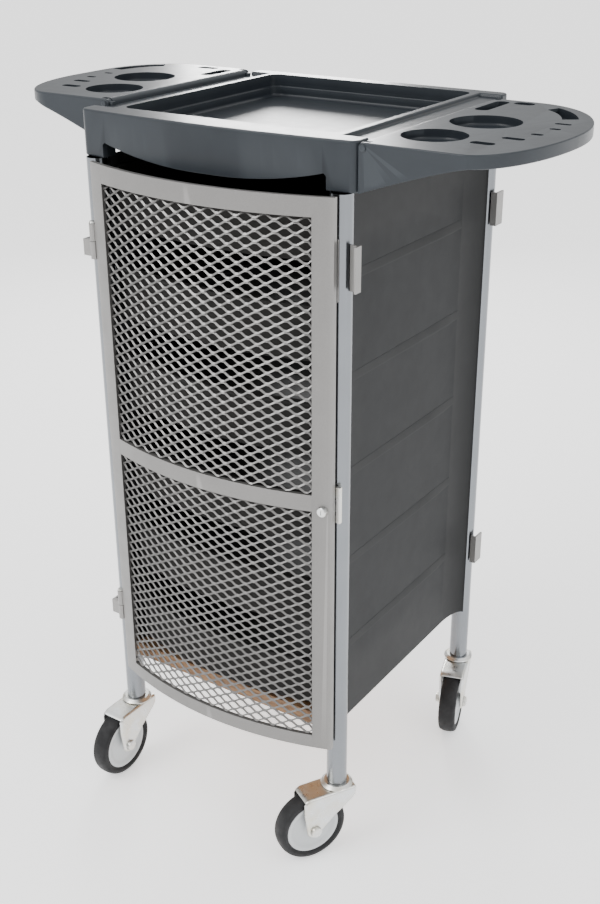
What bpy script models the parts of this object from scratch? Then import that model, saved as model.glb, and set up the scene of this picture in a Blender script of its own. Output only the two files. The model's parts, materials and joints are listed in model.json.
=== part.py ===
"""Hairdresser's roller trolley: tubular frame on four castors, moulded top tray
with two fold-up wings, six hanging drawers and a bowed mesh door.

Frame: metres, X to the trolley's right, Y to its rear, Z up, origin on the floor
under the centre of the body.
"""
import math

import bmesh
import bpy
from mathutils import Matrix, Vector

# ---- driving dimensions (metres) ----
GAP = 0.0003
RUN = 0.0001
POST_X = 0.163
POST_Y = 0.166
POST_R = 0.0125
POST_WALL = 0.0015
POST_Z0 = 0.102
TRAY_Z0 = 0.840
TRAY_Z1 = 0.892
TRAY_X = 0.1815
TRAY_FRONT = -0.170
TRAY_REAR = 0.180
TRAY_BOW = 0.009
TRAY_CORNER = 0.010
TRAY_WALL = 0.006
TRAY_DECK = 0.865
LAND_X = 0.153
LAND_DROP = 0.004
RECESS_X = 0.144
RECESS_FRONT = -0.142
RECESS_REAR = 0.160
LEG_INNER = 0.149
ARCH_RISE = 0.018
PANEL_X = 0.160
PANEL_T = 0.004
PANEL_Z0 = 0.181
COVE_Y = 0.112
COVE_OUT = 0.013
RIDGE_Z0 = 0.286
RIDGE_PITCH = 0.115
BOARD_Z0 = 0.1755
BOARD_Z1 = 0.1935
BOARD_FRONT = -0.172
DRAWERS = 6
DRAWER_Z0 = 0.202
DRAWER_PITCH = 0.112
DRAWER_H = 0.066
DRAWER_X = 0.1445
DRAWER_FLANGE_X = 0.1498
DRAWER_FRONT = -0.160
DRAWER_REAR = 0.140
DRAWER_BOW = 0.022
DRAWER_WALL = 0.0025
LEDGE_X = 0.1458
DOOR_MID = 0.008
DOOR_HALF = 0.161
DOOR_Z0 = 0.1645
DOOR_Z1 = 0.8395
DOOR_BACK = -0.184
DOOR_T = 0.0055
DOOR_SAG = 0.030
STILE_W = 0.022
TOP_RAIL = 0.021
MID_RAIL = 0.020
BOTTOM_RAIL = 0.018
MID_Z1 = 0.508
MESH_T = 0.002
MESH_GAP = 0.0009
HINGE_X = -0.1585
HINGE_Y = -0.1870
HINGE_Z = (0.2385, 0.7265)
HINGE_BARREL = 0.0205
BARREL_R = 0.0045
PIN_R = 0.0025
LOCK_X = 0.159
LOCK_Z = 0.490
LOCK_R = 0.006
STRIKE_Z = 0.729
STRIKE_H = 0.066
CLIP_T = 0.0025
WING_PIVOT_X = 0.1875
WING_ROOT_R = 0.0055
WING_WALL = 0.003
WING_TAPER_X = 0.300
WING_EDGE = 0.014
WHEEL_R = 0.046
WHEEL_W = 0.024
RIM_R = 0.0350
TRAIL = 0.038
FORK_IN = 0.0145
FORK_T = 0.003
HOOD_Z = 0.0965
AXLE_R = 0.004
CASTOR_TURNS = {"FL": 89.0, "FR": 60.0, "RL": 80.0, "RR": 107.0}

# Each wing: pivot height, front and rear of the outline, tip, centres of its two rounded corners,
# and its wells as bowls (x, y, radius), slots (x0, x1, y0, y1) and one pocket that follows the rim
# (centre x, centre y, radius in x, radius in y, first angle, last angle, half width).
WINGS = {
    1: {
        "z": 0.8860, "front": -0.168, "rear": 0.137, "tip": 0.350,
        "corner": (0.2927, -0.0236), "centre": (0.2349, -0.0186),
        "bowls": ((0.229, -0.098, 0.0345), (0.240, -0.004, 0.0385)),
        "slots": ((0.194, 0.211, 0.056, 0.122), (0.216, 0.240, 0.112, 0.127),
                  (0.274, 0.300, -0.115, -0.103), (0.291, 0.315, -0.078, -0.068),
                  (0.3075, 0.3205, -0.045, -0.037), (0.312, 0.324, -0.0085, -0.0015),
                  (0.305, 0.323, 0.0215, 0.0285)),
        "pocket": (0.2349, -0.0186, 0.0896, 0.1336, 33.0, 68.0, 0.009),
    },
    -1: {
        "z": 0.8895, "front": -0.122, "rear": 0.158, "tip": 0.350,
        "corner": (0.281, 0.0094), "centre": (0.2736, 0.057),
        "bowls": ((0.229, -0.056, 0.0345), (0.258, 0.035, 0.0385)),
        "slots": ((0.194, 0.211, 0.086, 0.138), (0.222, 0.252, 0.134, 0.147),
                  (0.274, 0.300, -0.075, -0.063), (0.291, 0.315, -0.038, -0.028),
                  (0.3095, 0.3225, -0.005, 0.003), (0.313, 0.325, 0.0315, 0.0385)),
        "pocket": (0.2736, 0.057, 0.060, 0.081, 8.0, 62.0, 0.008),
    },
}
BOWL_DEPTH = 0.011
SLOT_DEPTH = 0.010
WELL_WALL = 0.002
CORNERS = (("FL", -1, -1), ("FR", 1, -1), ("RL", -1, 1), ("RR", 1, 1))

SLOTS = {
    "post_tube": (0.62, 0.66, 0.70, 1.0, 0.28),
    "door_steel": (0.45, 0.44, 0.42, 0.9, 0.42),
    "mesh_steel": (0.40, 0.40, 0.40, 0.9, 0.40),
    "tray_plastic": (0.035, 0.040, 0.046, 0.0, 0.32),
    "panel_plastic": (0.020, 0.022, 0.022, 0.0, 0.50),
    "drawer_plastic": (0.028, 0.028, 0.028, 0.0, 0.45),
    "zinc_plate": (0.58, 0.58, 0.56, 1.0, 0.35),
    "tyre_rubber": (0.030, 0.031, 0.033, 0.0, 0.70),
    "hub_plastic": (0.55, 0.57, 0.58, 0.0, 0.40),
    "board_wood": (0.45, 0.26, 0.13, 0.0, 0.60),
}


def clear_scene():
    """Take every object out of the start file."""
    for obj in list(bpy.data.objects):
        bpy.data.objects.remove(obj, do_unlink=True)


def own_material(obj, slot):
    """Give the object its own Principled material in the colour of its slot."""
    red, green, blue, metal, rough = SLOTS[slot]
    mat = bpy.data.materials.new(slot + "_" + obj.name)
    mat.use_nodes = True
    shader = mat.node_tree.nodes["Principled BSDF"]
    shader.inputs["Base Color"].default_value = (red, green, blue, 1.0)
    shader.inputs["Metallic"].default_value = metal
    shader.inputs["Roughness"].default_value = rough
    obj.data.materials.clear()
    obj.data.materials.append(mat)


def mesh_object(name, bm):
    """Turn a bmesh into a linked object with outward faces."""
    bmesh.ops.recalc_face_normals(bm, faces=bm.faces)
    mesh = bpy.data.meshes.new(name)
    bm.to_mesh(mesh)
    bm.free()
    obj = bpy.data.objects.new(name, mesh)
    bpy.context.collection.objects.link(obj)
    return obj


def prism(name, outline, low, high, axis="Z"):
    """Extrude a closed 2-D outline along an axis: Z (x,y), Y (x,z) or X (y,z)."""
    bm = bmesh.new()
    rings = []
    for level in (low, high):
        ring = []
        for a, b in outline:
            if axis == "Z":
                place = (a, b, level)
            elif axis == "Y":
                place = (a, level, b)
            else:
                place = (level, a, b)
            ring.append(bm.verts.new(place))
        rings.append(ring)
    count = len(outline)
    bm.faces.new(rings[0])
    bm.faces.new(list(reversed(rings[1])))
    for i in range(count):
        j = (i + 1) % count
        bm.faces.new((rings[0][i], rings[0][j], rings[1][j], rings[1][i]))
    return mesh_object(name, bm)


def box(name, low, high):
    """Axis-aligned block between two corners."""
    outline = [(low[0], low[1]), (high[0], low[1]), (high[0], high[1]), (low[0], high[1])]
    return prism(name, outline, low[2], high[2])


def turned(name, profile, centre, axis="Z", steps=20):
    """Closed ring or solid of revolution from (radius, height) points round an axis.

    Points with radius zero close the solid on its axis.
    """
    bm = bmesh.new()
    rings = []
    for radius, height in profile:
        if radius < 1e-7:
            rings.append([bm.verts.new((0.0, 0.0, height))])
            continue
        ring = []
        for i in range(steps):
            a = 2.0 * math.pi * i / steps
            ring.append(bm.verts.new((radius * math.cos(a), radius * math.sin(a), height)))
        rings.append(ring)
    count = len(rings)
    closed = len(rings[0]) > 1 and len(rings[-1]) > 1
    pairs = count if closed else count - 1
    for k in range(pairs):
        low, high = rings[k], rings[(k + 1) % count]
        for i in range(steps):
            j = (i + 1) % steps
            corners = [low[i % len(low)], low[j % len(low)], high[j % len(high)], high[i % len(high)]]
            kept = []
            for vert in corners:
                if vert not in kept:
                    kept.append(vert)
            if len(kept) > 2:
                bm.faces.new(kept)
    turn = Matrix.Identity(4)
    if axis == "Y":
        turn = Matrix.Rotation(-math.pi / 2, 4, "X")
    elif axis == "X":
        turn = Matrix.Rotation(math.pi / 2, 4, "Y")
    bmesh.ops.transform(bm, matrix=Matrix.Translation(Vector(centre)) @ turn, verts=bm.verts)
    return mesh_object(name, bm)


def rod(name, radius, centre, low, high, axis="Z", steps=20):
    """Solid cylinder along an axis between two heights relative to its centre."""
    profile = [(0.0, low), (radius, low), (radius, high), (0.0, high)]
    return turned(name, profile, centre, axis, steps)


def combine(obj, other, operation):
    """Exact boolean of two closed solids; the second one is used up."""
    other.display_type = "WIRE"
    other.hide_render = True
    mod = obj.modifiers.new("join", "BOOLEAN")
    mod.operation = operation
    mod.solver = "EXACT"
    mod.object = other
    depsgraph = bpy.context.evaluated_depsgraph_get()
    mesh = bpy.data.meshes.new_from_object(obj.evaluated_get(depsgraph))
    obj.modifiers.clear()
    old = obj.data
    obj.data = mesh
    bpy.data.meshes.remove(old)
    bpy.data.objects.remove(other, do_unlink=True)
    return obj


def add(obj, other):
    """Join a solid onto an object."""
    return combine(obj, other, "UNION")


def cut(obj, other):
    """Cut a solid out of an object."""
    return combine(obj, other, "DIFFERENCE")


def bevel(obj, width, segments=2, angle=40.0):
    """Round the sharp edges of a finished solid."""
    mod = obj.modifiers.new("bevel", "BEVEL")
    mod.width = width
    mod.segments = segments
    mod.limit_method = "ANGLE"
    mod.angle_limit = math.radians(angle)
    mod.use_clamp_overlap = True
    depsgraph = bpy.context.evaluated_depsgraph_get()
    mesh = bpy.data.meshes.new_from_object(obj.evaluated_get(depsgraph))
    obj.modifiers.clear()
    old = obj.data
    obj.data = mesh
    bpy.data.meshes.remove(old)


def finish(obj, slot, smooth=True):
    """Weld, shade and colour a part."""
    bm = bmesh.new()
    bm.from_mesh(obj.data)
    bmesh.ops.remove_doubles(bm, verts=bm.verts, dist=0.00001)
    bmesh.ops.recalc_face_normals(bm, faces=bm.faces)
    if bm.calc_volume(signed=True) < 0.0:
        bmesh.ops.reverse_faces(bm, faces=bm.faces)
    bm.to_mesh(obj.data)
    bm.free()
    if smooth:
        obj.data.shade_smooth()
        obj.data.set_sharp_from_angle(angle=math.radians(35.0))
    own_material(obj, slot)
    return obj


def set_origin(obj, place):
    """Move an object's origin to a point on its joint axis."""
    shift = Vector(place)
    obj.data.transform(Matrix.Translation(-shift))
    obj.location = shift


def mirrored(outline, side):
    """Mirror an outline across the centre plane for the left side."""
    return [(side * a, b) for a, b in outline]


def arc(centre, radius, start, end, steps):
    """Points along a circular arc, angles in degrees."""
    points = []
    for i in range(steps + 1):
        a = math.radians(start + (end - start) * i / steps)
        points.append((centre[0] + radius * math.cos(a), centre[1] + radius * math.sin(a)))
    return points


def bow(x, half, edge, sag):
    """Y of a bowed front at x: edge at the ends, edge minus sag in the middle."""
    radius = (half * half + sag * sag) / (2.0 * sag)
    return edge - (math.sqrt(radius * radius - x * x) - (radius - sag))


def bowed_strip(x0, x1, half, edge_front, edge_back, sag, steps):
    """Plan outline of a strip that follows the bow between two x positions."""
    points = []
    for i in range(steps + 1):
        x = x0 + (x1 - x0) * i / steps
        points.append((x, bow(x, half, edge_front, sag)))
    for i in range(steps + 1):
        x = x1 + (x0 - x1) * i / steps
        points.append((x, bow(x, half, edge_back, sag)))
    return points


def make_posts():
    """Four tubular corner posts, open at both ends."""
    for tag, sx, sy in CORNERS:
        inner = POST_R - POST_WALL
        top = TRAY_Z0 - GAP
        profile = [(POST_R, POST_Z0), (POST_R, top), (inner, top), (inner, POST_Z0)]
        post = turned("post_" + tag, profile, (sx * POST_X, sy * POST_Y, 0.0))
        finish(post, "post_tube")


def tray_outline(inset):
    """Plan of the tray: rounded corners, front edge bowed."""
    half = TRAY_X - inset
    front = TRAY_FRONT + inset
    rear = TRAY_REAR - inset
    r = max(TRAY_CORNER - inset, 0.004)
    points = arc((half - r, rear - r), r, 0.0, 90.0, 6)
    points += arc((-half + r, rear - r), r, 90.0, 180.0, 6)
    points += arc((-half + r, front + r), r, 180.0, 262.0, 6)
    span = half - r
    for i in range(1, 12):
        x = -span + 2.0 * span * i / 12
        points.append((x, front - TRAY_BOW * (1.0 - (x / span) ** 2)))
    points += arc((half - r, front + r), r, 278.0, 360.0, 6)
    return points


def rounded_rect(x0, x1, y0, y1, r, steps=5):
    """Rounded rectangle outline, counter-clockwise."""
    points = arc((x1 - r, y1 - r), r, 0.0, 90.0, steps)
    points += arc((x0 + r, y1 - r), r, 90.0, 180.0, steps)
    points += arc((x0 + r, y0 + r), r, 180.0, 270.0, steps)
    points += arc((x1 - r, y0 + r), r, 270.0, 360.0, steps)
    return points


def apron_cutter(y0, y1):
    """Space under the curved lower edge of the apron between the corner legs."""
    outline = []
    for i in range(17):
        x = -LEG_INNER + 2.0 * LEG_INNER * i / 16
        outline.append((x, TRAY_Z0 + 0.0006 + ARCH_RISE * (x / LEG_INNER) ** 2))
    outline += [(LEG_INNER, TRAY_Z0 - 0.01), (-LEG_INNER, TRAY_Z0 - 0.01)]
    return prism("cut_apron", outline, y0, y1, "Y")


def make_tray():
    """Top tray: skirted deck with a recess, corner legs and wing knuckles."""
    tray = prism("top_tray", tray_outline(0.0), TRAY_Z0, TRAY_Z1)
    bevel(tray, 0.003, 2, 50.0)
    recess = rounded_rect(-RECESS_X, RECESS_X, RECESS_FRONT, RECESS_REAR, 0.012)
    cut(tray, prism("cut_recess", recess, TRAY_DECK, TRAY_Z1 + 0.01))
    floor = TRAY_DECK - 0.004
    inner_x = TRAY_X - TRAY_WALL
    front = TRAY_FRONT + TRAY_WALL
    rear = TRAY_REAR - TRAY_WALL
    cut(tray, box("cut_a", (-LEG_INNER, front, TRAY_Z0 - 0.01), (LEG_INNER, rear, floor)))
    cut(tray, box("cut_b", (-inner_x, -0.150, TRAY_Z0 - 0.01), (inner_x, 0.150, floor)))
    cut(tray, apron_cutter(TRAY_FRONT - 0.03, front + 0.001))
    cut(tray, apron_cutter(rear - 0.001, TRAY_REAR + 0.03))
    for side in (-1, 1):
        land = sorted((side * LAND_X, side * (TRAY_X + 0.01)))
        low = (land[0], RECESS_FRONT, TRAY_Z1 - LAND_DROP)
        cut(tray, box("land", low, (land[1], RECESS_REAR, TRAY_Z1 + 0.01)))
    for side in (-1, 1):
        pivot_z = WINGS[side]["z"]
        for y0, y1 in knuckle_spans(side):
            web = sorted((side * (TRAY_X - 0.003), side * WING_PIVOT_X))
            low = (web[0], y0, pivot_z - 0.0045)
            high = (web[1], y1, pivot_z + 0.0020)
            add(tray, box("web", low, high))
            place = (side * WING_PIVOT_X, 0.0, pivot_z)
            add(tray, rod("knuckle", 0.0045, place, y0 + 0.0001, y1 - 0.0001, "Y", 20))
            cut(tray, rod("bore", PIN_R, place, y0 - 0.01, y1 + 0.01, "Y", 16))
    finish(tray, "tray_plastic")


def knuckle_spans(side):
    """Y spans of the tray's knuckles for one wing, just inside the wing's end walls."""
    front = WINGS[side]["front"] + WING_WALL + 0.0005
    rear = WINGS[side]["rear"] - WING_WALL - 0.0005
    return ((front, front + 0.006), (rear - 0.006, rear))


def wing_outline(side, inset):
    """Plan of a wing, x outward: straight root and front edge, rounded outer end."""
    wing = WINGS[side]
    root = WING_PIVOT_X - WING_ROOT_R + inset
    front = wing["front"] + inset
    rear = wing["rear"] - inset
    tip = wing["tip"] - inset
    shape = [(root, rear), (root, front)]
    x, y = wing["corner"]
    for i in range(8):
        a = math.radians(-90.0 + 90.0 * i / 7)
        shape.append((x + (tip - x) * math.cos(a), y + (y - front) * math.sin(a)))
    x, y = wing["centre"]
    for i in range(10):
        a = math.radians(90.0 * i / 9)
        point = (x + (tip - x) * math.cos(a), y + (rear - y) * math.sin(a))
        if point[1] > shape[-1][1] + 0.001:
            shape.append(point)
    return shape


def wing_side_profile(side):
    """Side view of the wing, x against z, deep at the root and thin outside."""
    root = WING_PIVOT_X - WING_ROOT_R
    pivot_z = WINGS[side]["z"]
    top = pivot_z + WING_ROOT_R
    outer = WINGS[side]["tip"] + 0.02
    points = arc((WING_PIVOT_X, pivot_z), WING_ROOT_R, 180.0, 90.0, 5)
    points.append((outer, top))
    points.append((outer, top - WING_EDGE))
    for i in range(6):
        t = i / 5.0
        x = WING_TAPER_X + (root - WING_TAPER_X) * t
        points.append((x, top - WING_EDGE - (top - WING_EDGE - TRAY_Z0) * t ** 1.15))
    return points


def pocket_outline(pocket, grow):
    """Band that follows the rim, widened all round by a wall thickness."""
    x, y, rx, ry, first, last, half = pocket
    half += grow
    extra = math.degrees(grow / ry)
    outline = []
    for way in (1, -1):
        for i in range(7):
            t = i / 6.0 if way > 0 else 1.0 - i / 6.0
            a = math.radians(first - extra + (last - first + 2.0 * extra) * t)
            outline.append((x + (rx + way * half) * math.cos(a), y + (ry + way * half) * math.sin(a)))
    return outline


def wing_wells(side, grow, drop):
    """Solids of every well of a wing, grown by a wall; drop lowers their floors."""
    wing = WINGS[side]
    top = wing["z"] + WING_ROOT_R
    ceiling = top + 0.02 if grow == 0.0 else top - WING_WALL + 0.001
    solids = []
    for x, y, r in wing["bowls"]:
        floor = top - BOWL_DEPTH - drop
        solids.append(rod("well", r + grow, (side * x, y, 0.0), floor, ceiling, "Z", 24))
    floor = top - SLOT_DEPTH - drop
    outlines = [pocket_outline(wing["pocket"], grow)]
    for x0, x1, y0, y1 in wing["slots"]:
        r = min(x1 - x0, y1 - y0) * 0.45 + grow
        outlines.append(rounded_rect(x0 - grow, x1 + grow, y0 - grow, y1 + grow, r, 2))
    for outline in outlines:
        solids.append(prism("well", mirrored(outline, side), floor, ceiling))
    return solids


def make_wing(side, name):
    """Fold-up side wing with bowls and tool wells, hollow underneath."""
    pivot_z = WINGS[side]["z"]
    top = pivot_z + WING_ROOT_R
    wing = prism(name, mirrored(wing_outline(side, 0.0), side), TRAY_Z0 - 0.002, top + 0.01)
    shape = prism("shape", mirrored(wing_side_profile(side), side), -0.3, 0.3, "Y")
    combine(wing, shape, "INTERSECT")
    bevel(wing, 0.0015, 1, 50.0)
    inner = mirrored(wing_outline(side, WING_WALL), side)
    cut(wing, prism("hollow", inner, TRAY_Z0 - 0.02, top - WING_WALL))
    for solid in wing_wells(side, WELL_WALL, WELL_WALL):
        add(wing, solid)
    for solid in wing_wells(side, 0.0, 0.0):
        cut(wing, solid)
    for y0, y1 in knuckle_spans(side):
        xs = sorted((side * (WING_PIVOT_X - 0.012), side * (WING_PIVOT_X + 0.0062)))
        low = (xs[0], y0 - 0.0004, pivot_z - 0.0075)
        cut(wing, box("notch", low, (xs[1], y1 + 0.0004, top + 0.02)))
    place = (side * WING_PIVOT_X, 0.0, pivot_z)
    cut(wing, rod("bore", PIN_R - GAP + RUN, place, -0.3, 0.3, "Y", 16))
    finish(wing, "tray_plastic")
    set_origin(wing, place)


def make_wing_pins():
    """Headed pivot pins through the wing end walls into the tray knuckles."""
    for side, tag in ((-1, "L"), (1, "R")):
        for way, end in ((-1, "front"), (1, "rear")):
            r = PIN_R - GAP
            head = 0.0034
            inner = -way * (WING_WALL + 0.006)
            outer = way * 0.0004
            cap = way * 0.0016
            profile = [(0.0, inner), (r, inner), (r, outer), (head, outer), (head, cap * 0.8)]
            profile += [(head * 0.6, cap), (0.0, cap)]
            place = (side * WING_PIVOT_X, WINGS[side][end], WINGS[side]["z"])
            pin = turned("wing_pin_" + tag + "_" + end, profile, place, "Y", 16)
            finish(pin, "tray_plastic")


def panel_outline():
    """Plan of the right side panel: flat sheet that coves outward at the rear."""
    front = -POST_Y + POST_R + GAP
    rear = POST_Y - POST_R - GAP
    outer = [(PANEL_X, front), (PANEL_X, COVE_Y)]
    for i in range(1, 9):
        t = i / 8.0
        y = COVE_Y + (rear - COVE_Y) * math.sin(t * math.pi / 2)
        x = PANEL_X + COVE_OUT * (1.0 - math.cos(t * math.pi / 2))
        outer.append((x, y))
    inner = []
    for i in range(8, 0, -1):
        t = i / 8.0
        y = COVE_Y + PANEL_T * 0.4 + (rear - COVE_Y - PANEL_T * 0.4) * math.sin(t * math.pi / 2)
        x = PANEL_X - PANEL_T + COVE_OUT * (1.0 - math.cos(t * math.pi / 2))
        inner.append((x, y))
    inner += [(PANEL_X - PANEL_T, COVE_Y), (PANEL_X - PANEL_T, front)]
    return outer + inner


def make_panel(side, name):
    """Moulded side panel with lapped ridges outside and drawer ledges inside."""
    panel = prism(name, mirrored(panel_outline(), side), PANEL_Z0, TRAY_Z0 - GAP)
    front = -POST_Y + POST_R + 0.004
    for i in range(5):
        z = RIDGE_Z0 + RIDGE_PITCH * i
        plan = [(PANEL_X - 0.001, front), (PANEL_X + 0.0006, front)]
        plan += [(PANEL_X + 0.0030, COVE_Y - 0.010), (PANEL_X + 0.0010, COVE_Y)]
        plan.append((PANEL_X - 0.001, COVE_Y))
        add(panel, prism("ridge", mirrored(plan, side), z - 0.005, z + 0.005))
    inner = PANEL_X - PANEL_T + 0.001
    for i in range(DRAWERS):
        top = DRAWER_Z0 + DRAWER_PITCH * i + DRAWER_H - 0.003 - GAP
        xs = sorted((side * LEDGE_X, side * inner))
        low = (xs[0], -0.148, top - 0.004)
        add(panel, box("ledge", low, (xs[1], 0.138, top)))
    xs = sorted((side * (POST_X - POST_R), side * inner))
    low = (xs[0], -0.148, PANEL_Z0 + 0.0005)
    add(panel, box("cleat", low, (xs[1], 0.148, BOARD_Z1 - 0.001)))
    finish(panel, "panel_plastic")


def make_base():
    """Wooden base board and the bar behind it."""
    half = POST_X - POST_R - GAP
    rear = POST_Y - 0.0085 - GAP
    board = box("base_board", (-half, BOARD_FRONT, BOARD_Z0), (half, rear, BOARD_Z1))
    finish(board, "board_wood", False)
    reach = POST_X - POST_R - GAP
    middle = (BOARD_Z0 + BOARD_Z1) / 2
    bar = rod("rear_bar", 0.0085, (0.0, POST_Y, middle), -reach, reach, "X")
    finish(bar, "post_tube")


def drawer_outline(inset):
    """Plan of a drawer with its bowed front."""
    half = DRAWER_X - inset
    points = []
    for i in range(13):
        x = -half + 2.0 * half * i / 12
        points.append((x, bow(x, DRAWER_X, DRAWER_FRONT, DRAWER_BOW) + inset))
    points.append((half, DRAWER_REAR - inset))
    points.append((-half, DRAWER_REAR - inset))
    return points


def make_drawer(index):
    """Open drawer hung on the ledges by its side flanges."""
    z0 = DRAWER_Z0 + DRAWER_PITCH * index
    z1 = z0 + DRAWER_H
    drawer = prism("drawer_%d" % (index + 1), drawer_outline(0.0), z0, z1)
    lip = bowed_strip(-0.143, 0.143, DRAWER_X, DRAWER_FRONT - 0.006, DRAWER_FRONT + 0.001, DRAWER_BOW, 12)
    add(drawer, prism("lip", lip, z1 - 0.004, z1 - 0.0002))
    for side in (-1, 1):
        xs = sorted((side * (DRAWER_X - 0.001), side * DRAWER_FLANGE_X))
        low = (xs[0], -0.148, z1 - 0.003)
        add(drawer, box("flange", low, (xs[1], DRAWER_REAR - 0.002, z1 - 0.0001)))
    cut(drawer, prism("hollow", drawer_outline(DRAWER_WALL), z0 + DRAWER_WALL, z1 + 0.02))
    finish(drawer, "drawer_plastic")
    set_origin(drawer, (0.0, 0.0, z0))


def door_y(x, edge):
    """Y of the bowed door at x, for a face that has this y at the door's edges."""
    return bow(x - DOOR_MID, DOOR_HALF, edge, DOOR_SAG)


def door_strip(half, front, back, steps):
    """Plan outline of a strip that follows the door's bow."""
    strip = bowed_strip(-half, half, DOOR_HALF, front, back, DOOR_SAG, steps)
    return [(x + DOOR_MID, y) for x, y in strip]


def make_door():
    """Bowed door frame with a mid rail and a lock hole, and its two mesh panels."""
    front = DOOR_BACK - DOOR_T
    rails = ((DOOR_Z0, DOOR_Z0 + BOTTOM_RAIL), (MID_Z1 - MID_RAIL, MID_Z1), (DOOR_Z1 - TOP_RAIL, DOOR_Z1))
    frame = prism("door_frame", door_strip(DOOR_HALF, front, DOOR_BACK, 16), DOOR_Z0, DOOR_Z1)
    inner = DOOR_HALF - STILE_W
    for low, high in ((rails[0][1], rails[1][0]), (rails[1][1], rails[2][0])):
        cut(frame, box("window", (DOOR_MID - inner, -0.30, low), (DOOR_MID + inner, -0.15, high)))
    bevel(frame, 0.0012, 1, 50.0)
    y = door_y(LOCK_X, DOOR_BACK)
    cut(frame, rod("hole", LOCK_R - GAP + RUN, (LOCK_X, y, LOCK_Z), -0.03, 0.03, "Y", 24))
    finish(frame, "door_steel")
    set_origin(frame, (HINGE_X, HINGE_Y, DOOR_Z0))
    spans = (("door_mesh_lower", rails[0][1], rails[1][0]), ("door_mesh_upper", rails[1][1], rails[2][0]))
    for name, low, high in spans:
        back = DOOR_BACK - 0.001
        sheet = door_strip(inner - MESH_GAP, back - MESH_T, back, 14)
        panel = prism(name, sheet, low + MESH_GAP, high - MESH_GAP)
        finish(panel, "mesh_steel")
        set_origin(panel, (HINGE_X, HINGE_Y, DOOR_Z0))


def make_hinges():
    """Two door hinges: post clip with lower barrel, door leaf with upper barrel, pin."""
    bore = PIN_R + GAP
    for tag, z in (("lower", HINGE_Z[0]), ("upper", HINGE_Z[1])):
        split = z + HINGE_BARREL
        place = (HINGE_X, HINGE_Y, 0.0)
        clip = rod("clip", BARREL_R, place, z, split, "Z", 20)
        outer = -POST_X - POST_R - GAP
        near = -POST_Y - POST_R - GAP
        low = (outer - CLIP_T, near - 0.005, z + 0.0005)
        add(clip, box("plate", low, (HINGE_X, near, split - 0.0005)))
        add(clip, box("fold", low, (outer, -POST_Y + 0.004, split - 0.0005)))
        cut(clip, rod("bore", bore, place, z - 0.01, split + 0.01, "Z", 16))
        clip.name = "hinge_clip_" + tag
        finish(clip, "door_steel")
        base = split + 0.0006
        top = base + HINGE_BARREL
        leaf = rod("leaf", BARREL_R, place, base, top, "Z", 20)
        edge = DOOR_MID - DOOR_HALF - GAP
        low = (HINGE_X, HINGE_Y - 0.0020, base + 0.0005)
        add(leaf, box("arm", low, (edge, HINGE_Y + 0.0010, top - 0.0005)))
        cut(leaf, rod("bore", PIN_R + RUN, place, base - 0.01, top + 0.01, "Z", 16))
        leaf.name = "hinge_leaf_" + tag
        finish(leaf, "door_steel")
        set_origin(leaf, (HINGE_X, HINGE_Y, base))
        cap = top + 0.0005
        profile = [(0.0, z), (PIN_R, z), (PIN_R, cap), (0.0042, cap)]
        profile += [(0.0034, cap + 0.002), (0.0, cap + 0.002)]
        pin = turned("hinge_pin_" + tag, profile, place, "Z", 16)
        finish(pin, "zinc_plate")


def make_lock():
    """Cylinder lock through the right stile, its cam, and the keeper on the post."""
    face = door_y(LOCK_X, DOOR_BACK - DOOR_T)
    back = -0.1811
    end = back - face + 0.005
    profile = [(0.0, 0.0), (LOCK_R - 0.0011, 0.0), (LOCK_R - GAP, 0.0008), (LOCK_R - GAP, end), (0.0, end)]
    barrel = turned("lock_cylinder", profile, (LOCK_X, face - 0.005, LOCK_Z), "Y", 24)
    low = (LOCK_X - 0.0006, face - 0.006, LOCK_Z - 0.003)
    cut(barrel, box("slot", low, (LOCK_X + 0.0006, face - 0.0035, LOCK_Z + 0.003)))
    finish(barrel, "zinc_plate")
    set_origin(barrel, (LOCK_X, face - 0.005, LOCK_Z))
    y0 = back + GAP
    y1 = y0 + 0.0014
    outline = [(-0.004, 0.004), (-0.004, -0.019), (0.0, -0.0205)]
    outline += [(0.004, -0.019), (0.004, 0.004), (0.0, 0.0052)]
    cam = prism("lock_cam", [(LOCK_X + a, LOCK_Z + b) for a, b in outline], y0, y1, "Y")
    finish(cam, "zinc_plate")
    set_origin(cam, (LOCK_X, y0, LOCK_Z))
    low = (LOCK_X + 0.0065, -0.1832, LOCK_Z - 0.016)
    keeper = box("lock_keeper", low, (LOCK_X + 0.0155, -0.1788, LOCK_Z + 0.028))
    low = (LOCK_X - 0.0055, -0.1832, LOCK_Z + 0.0135)
    add(keeper, box("lip", low, (LOCK_X + 0.0070, -0.1818, LOCK_Z + 0.0275)))
    finish(keeper, "zinc_plate")


def make_clips():
    """Folded clips on the front right and rear right posts."""
    near = -POST_Y - POST_R - GAP
    outer = POST_X + POST_R + GAP
    strip = box("strike_clip", (0.1595, near - CLIP_T, STRIKE_Z), (0.1682, near, STRIKE_Z + STRIKE_H))
    finish(strip, "door_steel")
    z0 = STRIKE_Z + 0.0105
    z1 = STRIKE_Z + STRIKE_H - 0.0065
    fold = box("strike_fold", (outer, -POST_Y - 0.004, z0), (outer + 0.011, -POST_Y - 0.004 + CLIP_T, z1))
    low = (outer + 0.011 - CLIP_T, -POST_Y - 0.010, z0)
    add(fold, box("end", low, (outer + 0.011, -POST_Y, z1)))
    finish(fold, "door_steel")
    for tag, z in (("upper", 0.736), ("lower", 0.261)):
        inner = POST_X + POST_R + GAP
        high = (inner + 0.008, POST_Y - 0.0055, z + 0.041)
        clip = box("rear_clip_" + tag, (inner, POST_Y - 0.008, z), high)
        low = (inner + 0.0055, POST_Y - 0.008, z)
        add(clip, box("fold", low, (inner + 0.008, POST_Y + 0.010, z + 0.041)))
        low = (inner, POST_Y - 0.003, z + 0.008)
        add(clip, box("foot", low, (inner + 0.006, POST_Y + 0.003, z + 0.033)))
        finish(clip, "door_steel")


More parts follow.
